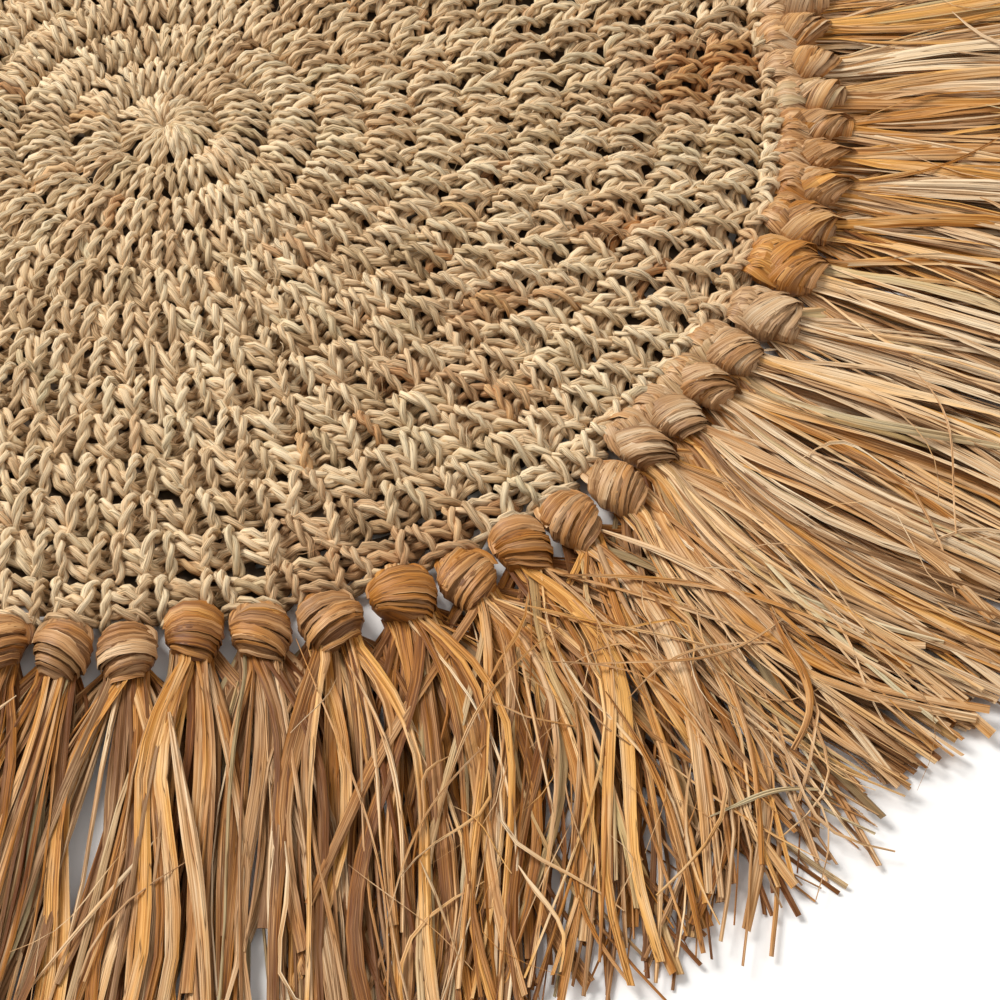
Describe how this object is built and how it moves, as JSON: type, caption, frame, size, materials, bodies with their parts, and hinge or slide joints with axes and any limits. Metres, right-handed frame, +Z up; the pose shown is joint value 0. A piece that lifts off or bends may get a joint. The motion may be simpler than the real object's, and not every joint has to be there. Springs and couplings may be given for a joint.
{
  "type": "round crocheted raffia placemat with a tassel fringe",
  "caption": "Round table mat crocheted from twisted grass cord, edged all round with knotted raffia tassels whose loose ribbons fan out flat on the table.",
  "frame": {"origin": "middle of the mat's flat underside, on the surface it lies on", "axes": "+Z up through the mat's middle, the thin way; X and Y lie in the mat's plane"},
  "size_m": [0.567, 0.5695, 0.0123],
  "materials": {
    "twisted_cord": "matt two-ply twisted grass cord, pale tan with rust and grey-green lengths",
    "raffia_ribbon": "dry raffia ribbon with fine lengthwise fibres, straw to orange brown, faint sheen"
  },
  "bodies": {
    "root": {"mat": "twisted_cord", "tassels_01": "raffia_ribbon", "tassels_02": "raffia_ribbon", "tassels_03": "raffia_ribbon", "tassels_04": "raffia_ribbon", "tassels_05": "raffia_ribbon", "tassels_06": "raffia_ribbon", "tassels_07": "raffia_ribbon", "tassels_08": "raffia_ribbon", "tassels_09": "raffia_ribbon", "tassels_10": "raffia_ribbon", "tassels_11": "raffia_ribbon", "tassels_12": "raffia_ribbon", "tassels_13": "raffia_ribbon", "tassels_14": "raffia_ribbon", "tassels_15": "raffia_ribbon", "tassels_16": "raffia_ribbon", "tassels_17": "raffia_ribbon", "tassels_18": "raffia_ribbon", "tassels_19": "raffia_ribbon", "tassels_20": "raffia_ribbon", "tassels_21": "raffia_ribbon", "tassels_22": "raffia_ribbon", "tassels_23": "raffia_ribbon", "tassels_24": "raffia_ribbon", "tassels_25": "raffia_ribbon", "tassels_26": "raffia_ribbon", "tassels_27": "raffia_ribbon", "tassels_28": "raffia_ribbon", "tassels_29": "raffia_ribbon", "tassels_30": "raffia_ribbon", "tassels_31": "raffia_ribbon", "tassels_32": "raffia_ribbon", "tassels_33": "raffia_ribbon", "tassels_34": "raffia_ribbon", "tassels_35": "raffia_ribbon", "tassels_36": "raffia_ribbon", "tassels_37": "raffia_ribbon", "tassels_38": "raffia_ribbon", "tassels_39": "raffia_ribbon"}
  },
  "joints": []
}
